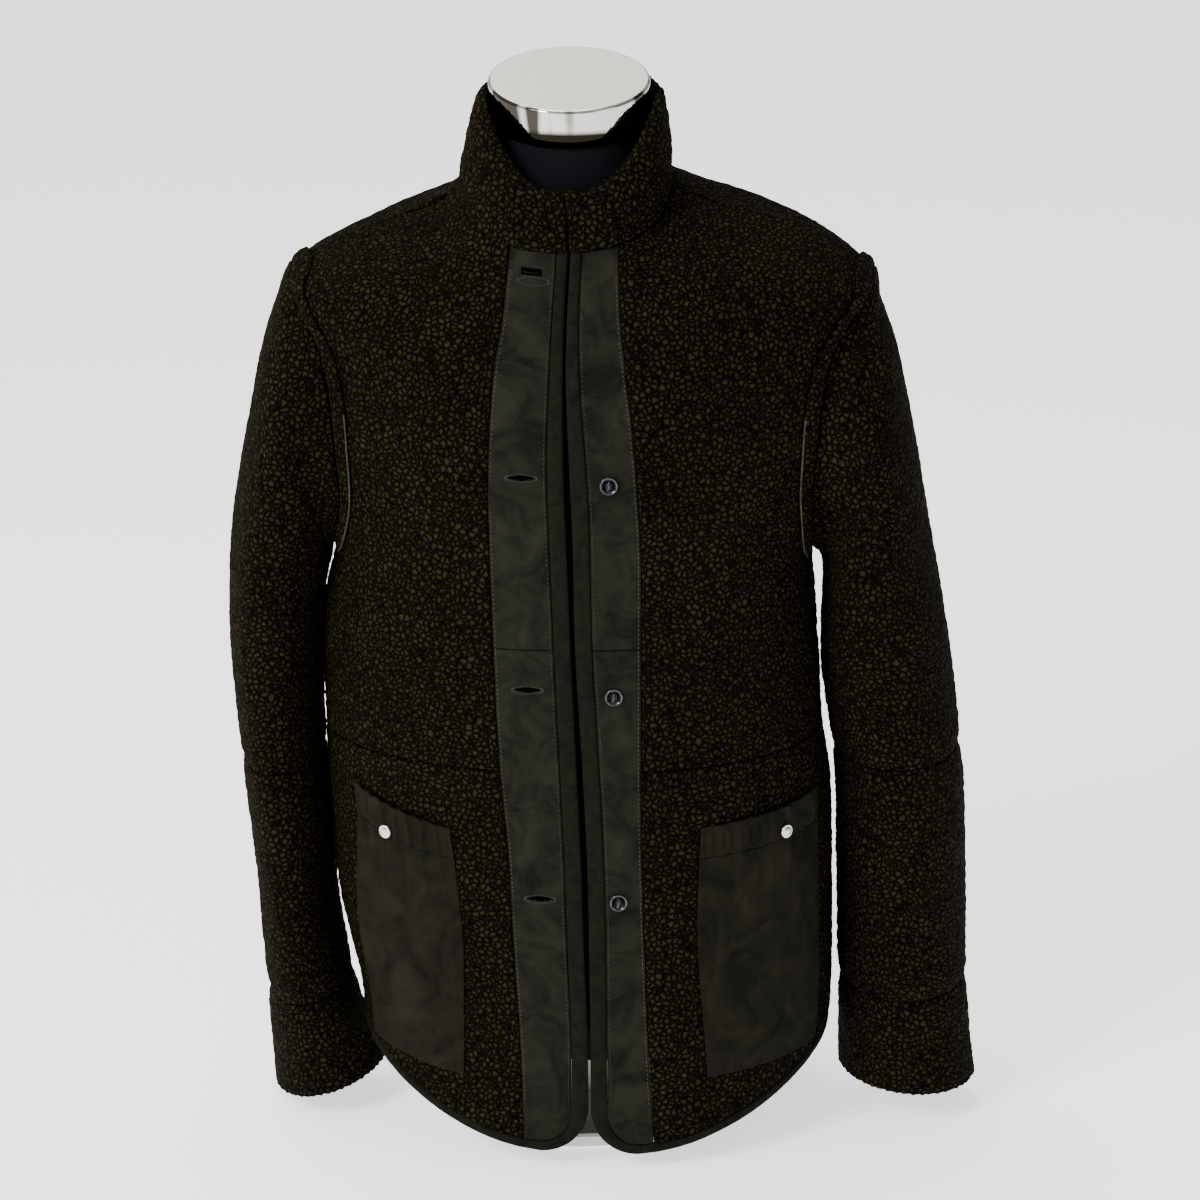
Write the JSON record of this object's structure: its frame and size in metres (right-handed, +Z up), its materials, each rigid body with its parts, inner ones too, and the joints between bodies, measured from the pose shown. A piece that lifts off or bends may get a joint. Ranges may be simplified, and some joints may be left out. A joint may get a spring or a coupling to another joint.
{
  "type": "sherpa lined jacket on a limbless dress form",
  "caption": "Hip length shearling jacket, pile outside, with a stand collar, suede plackets and gathered patch pockets, worn open by a few millimetres on a limbless form",
  "frame": {"origin": "centre of the underside of the form's foot, on the surface it stands on", "axes": "+Z up, front of the jacket faces -Y, the wearer's left is +X"},
  "size_m": [0.6028, 0.2729, 0.8604],
  "materials": {
    "fleece": "curly shearling pile, very dark olive brown",
    "suede": "napped suede, dark grey green, mottled",
    "binding": "narrow suede binding, dark grey green",
    "button": "polished, near black",
    "snap": "nickel plated, brushed",
    "jersey": "fine knitted jersey, blue black",
    "chrome": "mirror chrome band under a pale brushed top",
    "enamel": "flat disc and post in pale baked enamel"
  },
  "bodies": {
    "root": {"front_upper_right": "fleece", "front_upper_left": "fleece", "front_lower_right": "fleece", "front_lower_left": "fleece", "back": "fleece", "sleeve_upper_right": "fleece", "sleeve_upper_left": "fleece", "sleeve_lower_right": "fleece", "sleeve_lower_left": "fleece", "cuff_right": "fleece", "cuff_left": "fleece", "collar": "fleece", "placket_upper_right": "suede", "placket_upper_left": "suede", "placket_lower_right": "suede", "placket_lower_left": "suede", "pocket_right": "suede", "pocket_left": "suede", "pocket_band_right": "suede", "pocket_band_left": "suede", "armhole_strip_right": "binding", "armhole_strip_left": "binding", "binding_right": "binding", "binding_left": "binding", "binding_back": "binding", "button_1": "button", "button_2": "button", "button_3": "button", "snap_right": "snap", "snap_left": "snap", "form_torso": "jersey", "neck_cap": "chrome", "form_foot": "enamel"}
  },
  "joints": []
}
